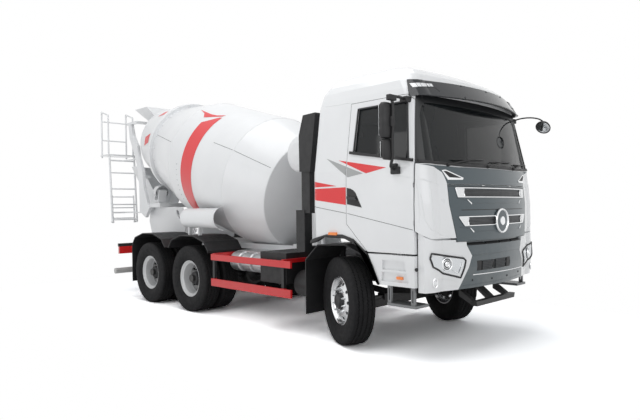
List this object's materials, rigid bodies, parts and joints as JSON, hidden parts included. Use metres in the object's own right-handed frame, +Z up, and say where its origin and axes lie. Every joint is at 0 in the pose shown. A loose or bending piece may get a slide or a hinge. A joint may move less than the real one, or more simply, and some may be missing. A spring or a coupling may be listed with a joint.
{
  "type": "concrete mixer truck",
  "caption": "Forward-control truck with tilting cab and inclined mixing drum, hoppers, folding discharge chute, ladder and side guards.",
  "frame": {"origin": "on the ground under the middle of the whole vehicle", "axes": "+Z up, the truck faces -Y, +X is its left side"},
  "size_m": [3.05, 9.0004, 3.8],
  "materials": {
    "white_paint": "satin",
    "cab_paint": "gloss",
    "blue_grey_paint": "satin",
    "red_paint": "satin",
    "drum_paint": "satin",
    "frame_paint": "satin",
    "black_plastic": "matte",
    "grey_paint": "satin",
    "steel": "satin",
    "galvanized": "satin",
    "alloy": "satin",
    "rim_paint": "satin",
    "tyre_rubber": "matte",
    "cast_iron": "matte",
    "engine_iron": "matte",
    "glass": "clear",
    "lamp": "clear",
    "seat_fabric": "matte",
    "ladder_paint": "satin"
  },
  "bodies": {
    "chassis": {"access_platform": "ladder_paint", "air_intake": "black_plastic", "axles": "cast_iron", "battery_box": "black_plastic", "drum_gearbox": "grey_paint", "frame_rails": "frame_paint", "front_underrun": "frame_paint", "hoppers": "white_paint", "leaf_springs": "frame_paint", "mixer_frame": "white_paint", "mudguards": "black_plastic", "powertrain": "engine_iron", "rear_pedestal": "white_paint", "rear_underrun": "frame_paint", "side_guards": "red_paint", "silencer": "steel", "spare_chute": "white_paint", "tail_lamps": "lamp", "tanks": "galvanized", "water_tank": "white_paint"},
    "knuckle_right": {"knuckle_right": "cast_iron"},
    "knuckle_left": {"knuckle_left": "cast_iron"},
    "wheel_front_right": {"tyre_front_right": "tyre_rubber", "rim_front_right": "alloy"},
    "wheel_front_left": {"tyre_front_left": "tyre_rubber", "rim_front_left": "alloy"},
    "wheel_mid_right": {"tyres_mid_right": "tyre_rubber", "rims_mid_right": "rim_paint"},
    "wheel_mid_left": {"tyres_mid_left": "tyre_rubber", "rims_mid_left": "rim_paint"},
    "wheel_rear_right": {"tyres_rear_right": "tyre_rubber", "rims_rear_right": "rim_paint"},
    "wheel_rear_left": {"tyres_rear_left": "tyre_rubber", "rims_rear_left": "rim_paint"},
    "cab": {"cab_shell": "cab_paint", "cowl_panel": "blue_grey_paint", "windscreen": "glass", "visor": "cab_paint", "dashboard": "black_plastic", "seats": "seat_fabric", "front_mirror": "black_plastic", "bumper_centre": "grey_paint", "bumper_ends": "cab_paint", "lamps": "lamp", "boarding_steps": "cab_paint"},
    "door_right": {"door_right": "cab_paint", "door_glass_right": "glass", "mirrors_right": "black_plastic"},
    "door_left": {"door_left": "cab_paint", "door_glass_left": "glass", "mirrors_left": "black_plastic"},
    "front_flap": {"front_mask": "blue_grey_paint", "grilles": "steel"},
    "drum": {"drum": "drum_paint"},
    "roller_right": {"roller_right": "steel"},
    "roller_left": {"roller_left": "steel"},
    "chute_post": {"chute_post": "white_paint"},
    "chute_main": {"chute_main": "white_paint"},
    "chute_tip": {"chute_tip": "white_paint"},
    "ladder_fold": {"ladder_fold": "ladder_paint"}
  },
  "joints": [
    {"name": "steer_right", "type": "hinge", "parent": "chassis", "child": "knuckle_right", "pos_m": [-0.885, -2.9375, 0.535], "axis": [0, 0, 1], "range_deg": [-16.5, 63.5]},
    {"name": "steer_left", "type": "hinge", "parent": "chassis", "child": "knuckle_left", "pos_m": [0.885, -2.9375, 0.535], "axis": [0, 0, 1], "range_deg": [-16.5, 63.5]},
    {"name": "wheel_front_right_spin", "type": "hinge", "parent": "knuckle_right", "child": "wheel_front_right", "pos_m": [-1.01339, -2.88167, 0.535], "axis": [0.9171, -0.3987, 0], "continuous": true},
    {"name": "wheel_front_left_spin", "type": "hinge", "parent": "knuckle_left", "child": "wheel_front_left", "pos_m": [1.01339, -2.99333, 0.535], "axis": [0.9171, -0.3987, 0], "continuous": true},
    {"name": "wheel_mid_right_spin", "type": "hinge", "parent": "chassis", "child": "wheel_mid_right", "pos_m": [-0.9225, 0.5125, 0.535], "axis": [1, 0, 0], "continuous": true},
    {"name": "wheel_mid_left_spin", "type": "hinge", "parent": "chassis", "child": "wheel_mid_left", "pos_m": [0.9225, 0.5125, 0.535], "axis": [1, 0, 0], "continuous": true},
    {"name": "wheel_rear_right_spin", "type": "hinge", "parent": "chassis", "child": "wheel_rear_right", "pos_m": [-0.9225, 1.8625, 0.535], "axis": [1, 0, 0], "continuous": true},
    {"name": "wheel_rear_left_spin", "type": "hinge", "parent": "chassis", "child": "wheel_rear_left", "pos_m": [0.9225, 1.8625, 0.535], "axis": [1, 0, 0], "continuous": true},
    {"name": "cab_tilt", "type": "hinge", "parent": "chassis", "child": "cab", "pos_m": [0, -4.1875, 0.8], "axis": [1, 0, 0], "range_deg": [0, 50]},
    {"name": "door_right_open", "type": "hinge", "parent": "cab", "child": "door_right", "pos_m": [-1.222, -4.0495, 1.7], "axis": [0, 0, 1], "range_deg": [0, 68]},
    {"name": "door_left_open", "type": "hinge", "parent": "cab", "child": "door_left", "pos_m": [1.222, -4.0495, 1.7], "axis": [0, 0, -1], "range_deg": [0, 68]},
    {"name": "front_flap_open", "type": "hinge", "parent": "cab", "child": "front_flap", "pos_m": [0, -4.3545, 1.9], "axis": [-1, 0, 0], "range_deg": [0, 75]},
    {"name": "drum_spin", "type": "hinge", "parent": "chassis", "child": "drum", "pos_m": [0, -1.0825, 1.869], "axis": [0, 0.9632, 0.2689], "continuous": true},
    {"name": "roller_right_spin", "type": "hinge", "parent": "chassis", "child": "roller_right", "pos_m": [-0.5704, 2.65287, 2], "axis": [0, 0.9632, 0.2689], "continuous": true},
    {"name": "roller_left_spin", "type": "hinge", "parent": "chassis", "child": "roller_left", "pos_m": [0.5704, 2.65287, 2], "axis": [0, 0.9632, 0.2689], "continuous": true},
    {"name": "chute_slew", "type": "hinge", "parent": "chassis", "child": "chute_post", "pos_m": [0, 3.6825, 1], "axis": [0, 0, 1], "range_deg": [-20, 60]},
    {"name": "chute_tilt", "type": "hinge", "parent": "chute_post", "child": "chute_main", "pos_m": [0, 3.6825, 1.38], "axis": [-0.5, 0.866, 0], "range_deg": [-15, 20]},
    {"name": "chute_tip_unfold", "type": "hinge", "parent": "chute_main", "child": "chute_tip", "pos_m": [0.8484, 4.17232, 1.13079], "axis": [-0.5, 0.866, 0], "range_deg": [0, 180]},
    {"name": "ladder_unfold", "type": "hinge", "parent": "chassis", "child": "ladder_fold", "pos_m": [-0.685, 4.0575, 1.4], "axis": [-1, 0, 0], "range_deg": [0, 170]}
  ],
  "couplings": [
    {"joint": "steer_left", "follows": "steer_right", "ratio": 1},
    {"joint": "roller_right_spin", "follows": "drum_spin", "ratio": -7.0538},
    {"joint": "roller_left_spin", "follows": "drum_spin", "ratio": -7.0538}
  ]
}
